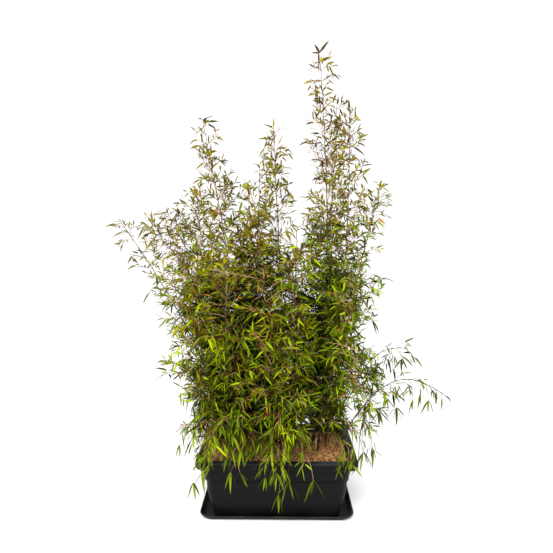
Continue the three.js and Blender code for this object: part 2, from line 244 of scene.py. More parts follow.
# The section up the outside, over the rim and down inside: height, and how far in along x and along y.
TROUGH_PROFILE = [
    (2.8, 90, 70), (2.8, 68, 48), (4.0, 65, 45), (8, 62.5, 42.5), (60, 50, 40), (96, 40.2, 39.2),
    (102, 39, 39), (140, 36.8, 36.8), (142, 36.0, 36.0), (143.5, 33.4, 33.4), (144.5, 31.4, 31.4),
    (170, 29, 29), (196, 26.6, 26.6), (199, 26, 26), (200, 24, 24), (200.2, 5, 5), (201.5, 1.8, 1.8),
    (204.5, 0.5, 0.5), (212, 0, 0), (221, 0.4, 0.4), (226, 1.8, 1.8), (229, 4.2, 4.2), (230, 7.5, 7.5),
    (230, 20, 20), (229, 25.5, 25.5), (226, 28.6, 28.6), (220, 29.6, 29.6), (194, 30, 30),
]
trough_rings = [rounded_ring(TROUGH_SIZE, x, y, height) for height, x, y in TROUGH_PROFILE]
# The worn colour also serves as the painted highlight along the rim.
trough_plastic = moulded_plastic("trough_plastic", "#070808", worn_and_highlight="#303335", dust="#121110",
                                 dust_height=0.06, lip_height=0.231)
trough = link_mesh("trough_shell", *skin_rings(trough_rings), trough_plastic)
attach(trough, "root")
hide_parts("trough")


# ---------------------------------------------------------------------------------------------
# Soil: moist potting soil heaped a little in the middle, under a layer of coarse bark and coir chips,
# golden brown where they are fresh, with pale chips as painted highlights and dark chips as painted
# shade in the gaps between chips.
SOIL_HALF = (267, 167)
SOIL_TOP = 211.5
SOIL_EDGE = 203.5
SOIL_INSET = 34.5
SOIL_SLOPE = 55.5
SOIL_COLUMNS = 48
SOIL_ROWS = 30
# Each kind of chip: its colour, how many lie on a square metre, its greatest length and width, and a seed.
CHIP_KINDS = {
    "chips_golden": ("#dba360", 17000, 17, 3.6, 11),
    "chips_orange": ("#bd7532", 12000, 15, 4.0, 23),
    # The pale chips paint highlights, and the dark chips paint the shade in the gaps between chips.
    "chips_painted_highlight": ("#f2d39c", 7000, 20, 2.6, 37),
    "chips_painted_shade": ("#3b2519", 9000, 13, 5.0, 51),
}

soil_material, paint = new_material("potting_soil")
place = paint.place()
crumbs = paint.noise(place, 110.0, 4.0, 0.65)
damp = paint.noise(place, 7.0, 3.0, 0.5).between(0.4, 0.65)
earth = paint.mix(crumbs.between(0.35, 0.7), linear("#1d130d"), linear("#5a3a22"))
paint.surface(earth, 0.95 - damp * 0.2, normal=paint.bump(crumbs, 0.8, 0.004))
soil_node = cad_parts["soil"]
soil_node.data.materials.clear()
soil_node.data.materials.append(soil_material)


def part_of(value, whole):
    """The value as a share of the whole, never below 0 or above 1."""
    return min(max(value / whole, 0), 1)


soil_points = []
for row in range(SOIL_ROWS + 1):
    for column in range(SOIL_COLUMNS + 1):
        x = (2 * column / SOIL_COLUMNS - 1) * SOIL_HALF[0]
        y = (2 * row / SOIL_ROWS - 1) * SOIL_HALF[1]
        from_rim = min(TROUGH_SIZE[0] / 2 - abs(x), TROUGH_SIZE[1] / 2 - abs(y))
        rise = part_of(from_rim - SOIL_INSET, SOIL_SLOPE)
        soil_points.append((x, y, SOIL_EDGE + (SOIL_TOP - SOIL_EDGE) * rise))
soil_faces = []
for row in range(SOIL_ROWS):
    for column in range(SOIL_COLUMNS):
        corner = row * (SOIL_COLUMNS + 1) + column
        opposite = corner + SOIL_COLUMNS + 2
        soil_faces.append((corner, corner + 1, opposite, opposite - 1))


def chip_tree():
    """Scatters flat chips over a surface. Gives the node tree, and what its inputs are called inside."""
    tree = bpy.data.node_groups.new("scatter_chips", "GeometryNodeTree")
    sockets = {}
    for name, kind in [("Surface", "Geometry"), ("Density", "Float"), ("Length", "Float"),
                       ("Width", "Float"), ("Seed", "Int"), ("Finish", "Material")]:
        sockets[name] = tree.interface.new_socket(name, in_out="INPUT", socket_type="NodeSocket" + kind)
    tree.interface.new_socket("Chips", in_out="OUTPUT", socket_type="NodeSocketGeometry")
    given = tree.nodes.new("NodeGroupInput")
    surface, density, length, width, seed, finish = [Shade(tree, given.outputs[name]) for name in sockets]
    node = surface.node
    thin = width * 0.5
    smallest = node("ShaderNodeCombineXYZ", {}, {0: length * 0.45, 1: thin, 2: thin})
    largest = node("ShaderNodeCombineXYZ", {}, {0: length, 1: width, 2: width})
    any_vector = {"data_type": "FLOAT_VECTOR"}
    size = node("FunctionNodeRandomValue", any_vector, {0: smallest, 1: largest, "Seed": seed})
    turns = {0: (-0.5, -0.55, 0.0), 1: (0.5, 0.55, 6.28), "Seed": seed}
    turn = node("FunctionNodeRandomValue", any_vector, turns)
    flake = {"Vertices": 5, "Radius": 0.5, "Depth": 0.32}
    chip = node("GeometryNodeMeshCylinder", {"fill_type": "TRIANGLE_FAN"}, flake)
    strewn = {"Mesh": surface, "Density": density, "Seed": seed}
    spots = node("GeometryNodeDistributePointsOnFaces", {}, strewn)
    laid = {"Points": spots, "Instance": chip, "Rotation": turn, "Scale": size}
    put = node("GeometryNodeInstanceOnPoints", {}, laid)
    real = node("GeometryNodeRealizeInstances", {}, {"Geometry": put})
    chips = node("GeometryNodeSetMaterial", {}, {"Geometry": real, "Material": finish})
    chips.join(chips, tree.nodes.new("NodeGroupOutput").inputs["Chips"])
    return tree, {name: socket.identifier for name, socket in sockets.items()}


scatter, scatter_inputs = chip_tree()
for name, (colour, density, chip_length, chip_width, seed) in CHIP_KINDS.items():
    ground = link_mesh(name + "_ground", soil_points, soil_faces, smooth=False)
    scattered = ground.modifiers.new("scatter", "NODES")
    scattered.node_group = scatter
    values = {"Density": float(density), "Length": chip_length * MM, "Width": chip_width * MM, "Seed": seed,
              "Finish": plain_material(name, colour, 0.85)}
    for socket, value in values.items():
        scattered[scatter_inputs[socket]] = value
    shown = ground.evaluated_get(bpy.context.evaluated_depsgraph_get())
    chips = bpy.data.objects.new(name, bpy.data.meshes.new_from_object(shown))
    bpy.context.collection.objects.link(chips)
    bpy.data.objects.remove(ground)
    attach(chips, "root")


# ---------------------------------------------------------------------------------------------
# Canes: seventeen dark, purplish brown canes that rise from the soil and lean outwards. Each is hollow,
# smooth and ringed at its joints, and thins out into the stem of its plume.
CANE_FOOT = 203
CANE_LEVEL = 210.3
CANE_RADIUS = (3.5, 0.8)
ARCHING_RADIUS = (2.3, 1.2)
CANE_TAPER = 1.2
CANE_SIDES = 8
CANE_STEPS = 24
# Each cane: foot x, y; tip x, y, z; how far its middle bows along x and z; the length of its plume; and
# the width of the plume's space at its start and at its tip.
CANES = {
    "tallest": ((140, 20), (160, 30, 1735), (43, 0), 640, (150, 70)),
    "tall_rear": ((150, 70), (239, 135, 1580), (8, 0), 520, (140, 66)),
    "tall_right": ((155, -40), (262, -85, 1498), (38, 0), 480, (140, 66)),
    "right": ((190, 0), (389, -5, 1235), (-12, 0), 380, (150, 80)),
    "middle": ((30, 40), (-15, 45, 1462), (6, 0), 540, (160, 68)),
    "middle_left": ((-60, -50), (-62, -75, 1300), (-14, 0), 400, (160, 80)),
    "left_tall": ((-120, 10), (-283, 10, 1486), (26, 0), 500, (160, 68)),
    "left_rear": ((-160, 60), (-446, 95, 1150), (62, 0), 330, (150, 85)),
    "left_front": ((-170, -60), (-476, -105, 1090), (55, 130), 330, (150, 85)),
    "left_far": ((-185, 0), (-600, 0, 1100), (55, 0), 420, (150, 72)),
    "left_back": ((-130, 90), (-353, 180, 1225), (-8, 0), 360, (160, 85)),
    "back": ((-60, 115), (-125, 215, 1232), (0, 0), 400, (170, 90)),
    "back_right": ((95, 115), (180, 240, 1150), (0, 0), 360, (165, 90)),
    "front_left": ((-90, -105), (-225, -225, 1030), (0, 0), 330, (165, 95)),
    "front": ((50, -110), (70, -240, 1075), (0, 0), 350, (165, 95)),
    "low_right": ((210, -60), (650, -70, 437), (0, 165), 270, (100, 75)),
    "low_right_rear": ((205, 50), (520, 40, 600), (0, 130), 240, (120, 90)),
}
JOINT_SPACING = [32, 34, 40, 45, 58, 63, 74, 69, 80, 84]
LONGEST_CANE = 1530
SPACING_POWER = 0.7
LOWEST_JOINT = 40
JOINT_ZIGZAG = 1.4
# The swelling at a joint: height from its middle, and how many times as thick as the cane.
JOINT_SECTION = [(-2.6, 1.0), (-1.8, 1.28), (-0.6, 1.6), (0.2, 1.12), (1.4, 1.5), (2.8, 1.45), (5.0, 1.0)]
UP = Vector((0, 0, 1))
GOLDEN_TURN = math.radians(137.5)


def chance(*keys):
    """A fixed number from 0 to 1 for a set of whole-number keys, of which the last tells draws apart."""
    value = 2166136261
    for key in keys:
        value = ((value ^ key) * 16777619) & 0xFFFFFFFF
        value ^= value >> 13
        value = (value * 1540483477) & 0xFFFFFFFF
        value ^= value >> 15
    return value / 4294967296


def blend(start, end, share):
    return start + (end - start) * share


def between(least, most, *keys):
    return blend(least, most, chance(*keys))


def cane_at(cane, share):
    """A cane's place at a share of its length: a straight line with a bow in the middle."""
    foot, tip, bow = cane[:3]
    swing = math.sin(math.pi * share)
    base = Vector((*foot, CANE_LEVEL))
    return base.lerp(Vector(tip), share) + Vector((bow[0] * swing, 0, bow[1] * swing))


def cane_direction(cane, share):
    return (cane_at(cane, share + 0.01) - cane_at(cane, share - 0.01)).normalized()


def tube(points, radii, sides):
    """Points and faces of a tube round a row of points, closed at both ends."""
    last = len(points) - 1
    along = [(points[min(i + 1, last)] - points[max(i - 1, 0)]).normalized() for i in range(last + 1)]
    across = along[0].orthogonal().normalized()
    rings = []
    for i, point in enumerate(points):
        if i:
            across = (across - along[i] * across.dot(along[i])).normalized()
        other = along[i].cross(across)
        ring = []
        for k in range(sides):
            turn = 2 * math.pi * k / sides
            ring.append(point + (across * math.cos(turn) + other * math.sin(turn)) * radii[i])
        rings.append(ring)
    return skin_rings(rings)


class Bundle:
    """Many small shapes gathered into one mesh."""

    def __init__(self):
        self.points = []
        self.faces = []

    def add(self, points, faces):
        start = len(self.points)
        self.points.extend(points)
        self.faces.extend(tuple(start + i for i in face) for face in faces)

    def finish(self, name, material, stand_for, slot):
        made = link_mesh(name, [tuple(p) for p in self.points], self.faces, material)
        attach(made, "root")
        if stand_for:
            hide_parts(*stand_for)
        return made


def joint_shares(length):
    """Where a cane's joints stand, as shares of its length from the foot. They close up to the tip."""
    scale = (length / LONGEST_CANE) ** SPACING_POWER
    shares = []
    back = scale * JOINT_SPACING[0]
    while back <= length - LOWEST_JOINT:
        shares.append(1 - back / length)
        back += scale * JOINT_SPACING[min(len(shares), len(JOINT_SPACING) - 1)]
    return shares


cane_wood, paint = new_material("dark_cane")
place = paint.place()
mottle = paint.noise(place, 38.0, 4.0, 0.6)
bloom = paint.noise(place, 12.0, 2.0, 0.5).between(0.45, 0.7)
skin = paint.mix(mottle.between(0.35, 0.7), linear("#2a1b17"), linear("#573a30"))
skin = paint.mix(bloom * 0.25, skin, linear("#85706a"))
fibres = paint.noise(paint.stretch(place, (900, 900, 25)), 1.0, 2.0, 0.5)
paint.surface(skin, 0.3 + bloom * 0.25, normal=paint.bump(fibres, 0.25, 0.0004))
joint_wood = plain_material("cane_joint", "#5c3328", 0.6)

culms = Bundle()
joints = Bundle()
grown_canes = {}
for number, (name, cane) in enumerate(CANES.items()):
    length = (cane_at(cane, 1) - cane_at(cane, 0)).length
    shares = joint_shares(length)
    stops = sorted([k / CANE_STEPS for k in range(CANE_STEPS + 1)] + shares)
    thickness = ARCHING_RADIUS if name.startswith("low") else CANE_RADIUS
    radii = [blend(*thickness, stop ** CANE_TAPER) for stop in stops]
    centres = [cane_at(cane, stop) for stop in stops]
    centres[0].z = CANE_FOOT
    for k, share in enumerate(shares):
        side = JOINT_ZIGZAG if k % 2 else -JOINT_ZIGZAG
        centres[stops.index(share)] += Vector((side, -side * 0.5, 0))
    culms.add(*tube(centres, radii, CANE_SIDES))
    for share in shares:
        middle = centres[stops.index(share)]
        radius = radii[stops.index(share)]
        along = cane_direction(cane, share)
        rings = [middle + along * rise for rise, _ in JOINT_SECTION]
        joints.add(*tube(rings, [radius * wide for _, wide in JOINT_SECTION], CANE_SIDES))
    grown_canes[name] = (number, cane, length, shares)
culms.finish("canes", cane_wood, ["cane_" + name for name in CANES], "dark_cane")
joints.finish("cane_joints", joint_wood, [], "dark_cane")


# ---------------------------------------------------------------------------------------------
# Foliage stems: the plume at the end of each cane, the side sprays that hang on the canes in three tiers,
# and two that trail over the trough. Each has a space that its twigs and leaves keep to.
SPLIT_STEPS = 5
STEM_STEPS = 4
SOLID_RADIUS = (3.6, 2.4)
SPRAY_RADIUS = 3.2
CLEARANCE = 0.3
KEEP_OFF = 2.5
SAMPLE_STEP = 12
COLLAR = 12
OUTWARD_RISE = 30
COMPASS = {
    "right": (1, 0), "back_right": (0.85, 0.95), "back": (0, 1), "back_left": (-0.85, 0.95),
    "left": (-1, 0), "front_left": (-0.85, -0.95), "front": (0, -1), "front_right": (0.85, -0.95),
}
# Each tier: its middle along x, half its length and width, the heights where its sprays start and end,
# how wide a space a spray has round its stem, and the sides that have none.
TIERS = {
    "low": (0, 338, 255, 400, 225, 165, []),
    "middle": (-20, 360, 255, 430, 650, 175, ["back"]),
    "upper": (-40, 365, 250, 680, 900, 175, ["left", "back"]),
}
# Each trailing spray: the end's x and y, the heights where it starts and ends, and its space.
TRAILING = {"front": ((85, -264), 370, 120, 90), "left": ((-345, -95), 370, 150, 90)}
RIM_LEVEL = 226
PLACES_AT_ONCE = 2000


def point_along(points, share):
    place = share * (len(points) - 1)
    step = min(int(place), len(points) - 2)
    return points[step].lerp(points[step + 1], place - step)


def direction_along(points, share):
    step = min(int(share * (len(points) - 1)), len(points) - 2)
    return (points[step + 1] - points[step]).normalized()


def distance_to(points, place):
    """How near a place comes to a row of points."""
    least = math.inf
    for start, end in zip(points, points[1:]):
        _, share = intersect_point_line(place, start, end)
        least = min(least, (start.lerp(end, min(max(share, 0), 1)) - place).length)
    return least


def split_share(cane, length):
    """Where a cane's solid ends and its plume begins, as a share of its length."""
    return 1 - cane[3] / length


limbs = []
stems = []
for name, (number, cane, length, shares) in grown_canes.items():
    split = split_share(cane, length)
    limb = [cane_at(cane, split * k / SPLIT_STEPS) for k in range(SPLIT_STEPS + 1)]
    limbs.append((limb, SOLID_RADIUS[0], blend(*SOLID_RADIUS, split)))
    plume = [cane_at(cane, split + (1 - split) * k / STEM_STEPS) for k in range(STEM_STEPS + 1)]
    stems.append(("plume_" + name, plume, cane[4], "plume"))


def spray_stem(limb, height, target):
    """A spray's stem leaves its cane square to it, then bends over to its tip."""
    points, start_radius, end_radius = limb
    share = (height - points[0].z) / (points[-1].z - points[0].z)
    root = point_along(points, share)
    along = direction_along(points, share)
    outward = target - root
    outward = (outward - along * along.dot(outward)).normalized()
    collar = root + outward * (blend(start_radius, end_radius, share) + CLEARANCE + COLLAR)
    bend = Vector((target.x, target.y, collar.z + OUTWARD_RISE))
    return [root] + arch(collar, bend, target, STEM_STEPS)


def arch(start, bend, end, steps):
    """Points of a curve that sets off towards the bend and comes in from it."""
    points = []
    for k in range(steps + 1):
        t = k / steps
        points.append(start * (1 - t) ** 2 + bend * (2 * t * (1 - t)) + end * t ** 2)
    return points


def clear_of_limbs(start, end, own):
    samples = math.ceil((end - start).length / SAMPLE_STEP)
    for k in range(samples + 1):
        place = start.lerp(end, k / samples)
        for limb in limbs:
            if limb is not own and distance_to(limb[0], place) <= limb[1] + SPRAY_RADIUS + KEEP_OFF:
                return False
    return True


def hang_spray(name, height, target, reach, habit):
    """The stem leaves the nearest cane from which it meets no other cane."""
    beside = Vector((target.x, target.y, height))
    choices = [limb for limb in limbs if limb[0][0].z < height < limb[0][-1].z - KEEP_OFF]
    for limb in sorted(choices, key=lambda one: distance_to(one[0], beside)):
        points = spray_stem(limb, height, target)
        free = all(clear_of_limbs(a, b, limb) for a, b in zip(points, points[1:]))
        if free and all(distance_to(limb[0], point) > COLLAR for point in points[2:]):
            stems.append((name, points, (reach, reach), habit))
            return


for tier, (centre, half_length, half_width, start, end, reach, left_out) in TIERS.items():
    for side, (to_right, to_back) in COMPASS.items():
        if side not in left_out:
            target = Vector((centre + half_length * to_right, half_width * to_back, end))
            hang_spray(f"spray_{tier}_{side}", start, target, reach, "spray")
for side, (place, start, end, reach) in TRAILING.items():
    hang_spray("spray_trailing_" + side, start, Vector((*place, end)), reach, "trailer")

segment_start = np.array([a for _, points, _, _ in stems for a in points[:-1]])
segment_run = np.array([b - a for _, points, _, _ in stems for a, b in zip(points, points[1:])])
segment_width = []
for _, points, widths, _ in stems:
    steps = len(points) - 1
    edges = [blend(*widths, k / steps) for k in range(steps + 1)]
    segment_width += zip(edges, edges[1:])
segment_width = np.array(segment_width)


def out_of_reach(places):
    """How far each place lies from the nearest stem, as a share of the width of that stem's space."""
    result = []
    for batch in np.array_split(places, max(1, len(places) // PLACES_AT_ONCE)):
        away = batch[:, None, :] - segment_start[None]
        share = np.clip((away * segment_run).sum(2) / (segment_run ** 2).sum(1), 0, 1)
        near = np.linalg.norm(away - share[:, :, None] * segment_run, axis=2)
        width = blend(segment_width[:, 0], segment_width[:, 1], share)
        result.append((near / width).min(1))
    return np.concatenate(result)


def trough_room(places, margin):
    """How far each place is outside the trough or above its rim, less a margin."""
    past_end = np.abs(places[:, 0]) - TROUGH_SIZE[0] / 2
    past_side = np.abs(places[:, 1]) - TROUGH_SIZE[1] / 2
    return np.maximum(np.maximum(past_end, past_side), places[:, 2] - RIM_LEVEL) - margin


# ---------------------------------------------------------------------------------------------
# Branches and twigs: thin wiry side branches that fan out from every joint, then finer twigs, each
# bending down under its leaves. They are reddish brown while young and turn tan.
BRANCH_LEAN = math.radians(48)
LEAN_RANGE = (0.75, 1.3)
SAG_RANGE = (0.3, 1.4)
BRANCH_STEPS = 4
SIDE_BRANCH_SHARE = 0.8
# Turns round a stem: between the branches of a fan, to the front, and to the right.
FAN_TURN = 2.4
FORWARD = math.pi / 2
RIGHTWARD = -1.3
LOWEST_BRANCH = 300
BELOW_JOINT = 50
SPRAY_SPACING = 21
# Heights in a plume, as shares of it: where fans between the joints end, where fans get slimmer, where no
# cane is fuller than the rest, and where long branches and a bushy cane's fans stand.
LOWER_UNTIL = 0.1
SLIM_FROM = 0.15
PLAIN_FROM = 0.4
LONG_BETWEEN = (0.05, 0.62)
BUSHIER_UNTIL = 0.42
BUSHY_UNTIL = 0.55
PLUME_FROM = 1000
PLUME_SPACING = 9
CORE_SPACING = 8.5
OUTER_SPACING = 19
TWIG_LENGTH = (12, 34)
TWIGS_FROM = 0.3
TWIGS_ALONG = 0.68
END_STEP = 7.0
# Each kind of fan: a key that keeps its draws apart, how much its branches sag, their shortest and longest
# as shares of the reach, and their lean as a share of the usual one.
FANS = {
    "main": (7, 0.35, 0.4, 0.72, 1.0), "arching": (7, 1.5, 0.4, 0.72, 1.0), "lower": (8, 0.5, 0.4, 0.72, 1.0),
    "short": (6, 0.2, 0.1, 0.36, 1.0), "long": (5, 0.1, 1.0, 1.5, 0.42), "forward": (10, 0.2, 0.85, 1.1, 1.2),
    "spray": (9, 0.5, 0.4, 0.72, 1.0), "hanging": (9, 0.9, 0.4, 0.72, 1.0),
    "bushy": (3, 0.3, 0.7, 1.1, 0.8), "bushier": (4, 0.3, 0.7, 1.1, 0.8),
}
# The crown's middle, where the spaces of the masses close up: half its length and width, the height where
# it starts and ends, and how much lower it ends for each millimetre to the right.
CORE_HALF = (380, 230)
CORE_LEVELS = (300, 1030)
CORE_FALL = 0.5
# How far out the crown's left and right edges stand, at each height. Most branches end before them.
LEFT_EDGE = ([200, 380, 480, 600, 700, 800, 950, 1100], [272, 325, 325, 280, 320, 430, 470, 460])
RIGHT_EDGE = ([200, 330, 420, 600, 800, 950, 1100, 1250], [244, 265, 226, 232, 250, 305, 345, 380])
CROWN_DEPTH = 470
# Below this height, and above it: how far past the edge branches fade out, and the share left out there.
LOW_EDGE = 480
EDGE_FADE = (40, 80)
EDGE_LOSS = (0.93, 0.88)
# The front over the rim: its top, the height in which branches thin out, and the share left out at the
# left and at the right, where the soil shows.
FRONT_TOP = 350
FRONT_FADE = 120
FRONT_LOSS = (0.15, 0.65)
SOIL_SHOWS_FROM = 40
LOWEST_END = 232
BRANCH_REACH = 0.97
# The height above which the fans on a cane may pass the crown's edge.
ARCHING = {"left_far": 900, "low_right": 430, "low_right_rear": 430}
# Places with open sky between the plumes: left, right, bottom, top, and the share of branches left out.
SKY_GAPS = [
    (25, 120, 1000, 1240, 0.6), (-175, -50, 1150, 1330, 0.45), (305, 400, 230, 420, 0.8),
    (-560, -455, 1010, 1130, 0.7),
]
# How full of branches a cane is, where it isn't as full as the rest.
FULLNESS = {
    "tallest": 0.8, "tall_rear": 0.7, "tall_right": 0.8, "right": 0.9, "left_tall": 0.7, "left_back": 0.6,
    "back": 1.5, "middle_left": 0.9, "low_right": 0.5, "low_right_rear": 0.4, "front": 0.7, "left_far": 0.7,
    "left_front": 0.8, "left_rear": 0.8, "back_right": 1.3,
}
BUSHY_CANE = "left_tall"
# Twigs that hang over the trough: root, end, number of leaves and their length.
HANGING = [
    ((45, -205, 262), (8, -258, 145), 3, 62), ((48, -205, 262), (42, -260, 193), 5, 80),
    ((105, -205, 265), (130, -260, 197), 5, 74), ((-120, -200, 262), (-160, -258, 226), 3, 58),
    ((-215, -180, 290), (-268, -228, 205), 3, 60), ((-285, -150, 330), (-298, -222, 168), 3, 54),
    ((-255, -80, 350), (-368, -110, 262), 2, 50), ((305, -120, 300), (316, -170, 262), 4, 62),
]
# Twigs that hang from the low arching canes: the cane, where they root as a share of its length, how far
# out and down they reach, the number of leaves and their length.
ARCH_TWIGS = [
    ("low_right", 0.245, 12, 36, 3, 54), ("low_right", 0.318, 2, 85, 2, 52),
    ("low_right", 0.43, -12, 88, 5, 56), ("low_right", 0.523, 12, 95, 5, 54),
    ("low_right", 0.66, 12, 74, 3, 50), ("low_right", 0.705, 20, 47, 2, 50),
    ("low_right", 0.795, 12, 60, 4, 50), ("low_right", 0.886, 0, 12, 1, 46),
    ("low_right", 0.932, 2, 16, 1, 50), ("low_right_rear", 0.7, 10, 13, 5, 52),
    ("low_right_rear", 0.87, 12, 41, 5, 50), ("low_right_rear", 0.62, -2, 27, 4, 52),
    ("low_right_rear", 0.79, 4, 78, 5, 52),
]
# Twigs along the trough's front rim: their number, left, right, bottom, top, and how far they hang over
# the rim at least and at most, below zero where they end behind it.
FRINGE = [
    (50, -265, 80, 285, 345, -60, 25), (12, -262, 120, 262, 300, 10, 70), (12, 200, 300, 270, 310, -20, 45),
]
FRINGE_ROOTS = (-190, -110)
FRINGE_SWING = (-45, 45)
RIM_FRONT = -204
OVER_RIM = 8
ON_RIM = 262
# Single leaves at the tips of stems: heading and length.
TIP_LEAVES = [
    ("plume_tallest", (0.6, 0, 0.8), 60), ("plume_tallest", (-1, 0.1, 0.1), 32),
    ("plume_tallest", (-0.5, 0, 0.85), 40), ("plume_left_tall", (0.95, 0, 0.3), 52),
    ("plume_left_far", (-1, 0, 0.06), 38), ("plume_middle", (-0.9, 0, 0.3), 44),
    ("plume_low_right", (0.35, -0.1, -0.95), 46), ("plume_low_right", (0.9, 0, -0.45), 40),
]
# Sprays with branches that point forward at their end, and sprays with half as many fans.
FORWARD_SPRAYS = ["spray_middle_front", "spray_upper_front", "spray_middle_front_right"]
THIN_SPRAYS = [
    "spray_low_right", "spray_low_front_right", "spray_low_left", "spray_low_front",
    "spray_trailing_front", "spray_trailing_left",
]

branches = []


def bend_down(start, direction, length, sag, steps):
    """A row of points that sets off in a direction and sinks more and more under its own weight."""
    points = [start]
    heading = direction.copy()
    for _ in range(steps):
        heading = (heading - UP * sag / steps).normalized()
        points.append(points[-1] + heading * (length / steps))
    return points


def add_fan(kind, joint, along, reach, count, turn, *place_keys):
    """A fan of branches from one joint: the first one tends to be the longest."""
    fan_key, sag, shortest, longest, lean_share = FANS[kind]
    for k in range(count):
        keys = (*place_keys, fan_key, k)
        outward = along.cross(UP).normalized()
        if outward.length < 0.5:
            outward = Vector((1, 0, 0))
        outward.rotate(Quaternion(along, turn + k * FAN_TURN + between(-0.4, 0.4, *keys, 1)))
        lean = BRANCH_LEAN * lean_share * between(*LEAN_RANGE, *keys, 2)
        direction = along * math.cos(lean) + outward * math.sin(lean)
        length = reach * between(shortest, longest, *keys, 3) * (SIDE_BRANCH_SHARE if k else 1)
        points = bend_down(joint, direction, length, sag * between(*SAG_RANGE, *keys, 4), BRANCH_STEPS)
        branches.append((points, length, keys))


def branch_cane(number, name, cane, length, shares):
    """Fans of branches at a cane's joints, fewer and shorter up its plume."""
    split = split_share(cane, length)
    arching = name.startswith("low")
    for k, share in enumerate(shares):
        joint = cane_at(cane, share)
        if joint.z < LOWEST_BRANCH:
            continue
        along = cane_direction(cane, share)
        turn = k * GOLDEN_TURN
        up_plume = max(0, (share - split) / (1 - split))
        reach = blend(*cane[4], up_plume)
        full = FULLNESS.get(name, 1)
        if up_plume > PLAIN_FROM:
            full = min(full, 1)
        slim = up_plume > SLIM_FROM
        count = round((min(k + 1, 3) if slim else 4 if up_plume > 0 else 5) * full)
        if name == "low_right" and up_plume > PLAIN_FROM:
            count = 1 if k > 1 else 0
        add_fan("arching" if arching else "main", joint, along, reach, count, turn + number, number, k)
        if not arching:
            count = min(k // 2 + 1, round((2 if slim else 4) * full))
            if name == BUSHY_CANE and up_plume < BUSHY_UNTIL:
                count = 5
                for kind in ("bushy", "bushier") if up_plume < BUSHIER_UNTIL else ():
                    add_fan(kind, joint, along, reach, 1, RIGHTWARD, number, k)
            add_fan("short", joint, along, reach, count, turn, number, k)
            if LONG_BETWEEN[0] < up_plume < LONG_BETWEEN[1]:
                add_fan("long", joint, along, reach, 1, turn + 1, number, k)
        if up_plume < LOWER_UNTIL:
            below = cane_at(cane, share - BELOW_JOINT / length)
            add_fan("lower", below, along, reach * 1.1, 5, turn + 2, number, k)


def branch_spray(number, name, points, reach, habit):
    """Fans of branches along a spray's stem, and some that point forward at the end of a front one."""
    length = sum((b - a).length for a, b in zip(points, points[1:]))
    fan_count = int(length / SPRAY_SPACING * (0.5 if name in THIN_SPRAYS else 1))
    kind = "hanging" if habit == "trailer" or "low" in name else "spray"
    for k in range(1, fan_count + 1):
        share = k / (fan_count + 0.3)
        joint, along = point_along(points, share), direction_along(points, share)
        add_fan(kind, joint, along, reach, 3 if k % 2 else 2, k * GOLDEN_TURN, number, k)
    if name in FORWARD_SPRAYS:
        for k in range(3):
            add_fan("forward", points[-1], direction_along(points, 1), reach, 1, FORWARD, number, k)


for name, (number, cane, length, shares) in grown_canes.items():
    branch_cane(number, name, cane, length, shares)
for number, (name, points, widths, habit) in enumerate(stems):
    if habit != "plume":
        branch_spray(number, name, points, widths[0], habit)


def in_core(places):
    """Inside the dense middle of the crown."""
    oval = np.hypot(places[:, 0] / CORE_HALF[0], places[:, 1] / CORE_HALF[1])
    low, high = CORE_LEVELS
    return (oval < 1) & (places[:, 2] > low) & (places[:, 2] < high - CORE_FALL * places[:, 0])


def free_height(keys):
    """The height above which a branch may pass the crown's edge."""
    heights = {grown_canes[name][0]: height for name, height in ARCHING.items()}
    on_cane = keys[2] in (FANS["main"][0], FANS["lower"][0])
    return heights.get(keys[0], math.inf) if on_cane else math.inf


def thin_out(grown):
    """Keeps the branches that end in their masses' spaces, and few of those past the crown's edges."""
    ends = np.array([points[-1] for points, _, _ in grown])
    x, y, z = ends.T
    low_down = z < LOW_EDGE
    narrowing = np.sqrt(1 - np.clip(y / CROWN_DEPTH, -0.9, 0.9) ** 2)
    past_left = -x - np.interp(z, *LEFT_EDGE) * narrowing
    past_right = x - np.interp(z, *RIGHT_EDGE) * narrowing
    past_edge = np.clip(np.maximum(past_left, past_right) / np.where(low_down, *EDGE_FADE), 0, 1)
    past_edge[z > [free_height(keys) for _, _, keys in grown]] = 0
    rim_share = np.clip((FRONT_TOP - z) / FRONT_FADE, 0, 1) * (y < 0)
    front_loss = rim_share * np.where(x > SOIL_SHOWS_FROM, FRONT_LOSS[1], FRONT_LOSS[0])
    loss = np.maximum(past_edge * np.where(low_down, *EDGE_LOSS), front_loss)
    for left, right, bottom, top, share in SKY_GAPS:
        open_sky = (x > left) & (x < right) & (z > bottom) & (z < top)
        loss = np.maximum(loss, open_sky * share)
    loss[z < LOWEST_END] = 1
    reached = (out_of_reach(ends) < BRANCH_REACH) | in_core(ends)
    draw = np.array([chance(*keys, 61) for _, _, keys in grown])
    kept = reached & (trough_room(ends, 4) > 0) & (draw >= loss)
    return [branch for branch, good in zip(grown, kept) if good]


branches = thin_out(branches)

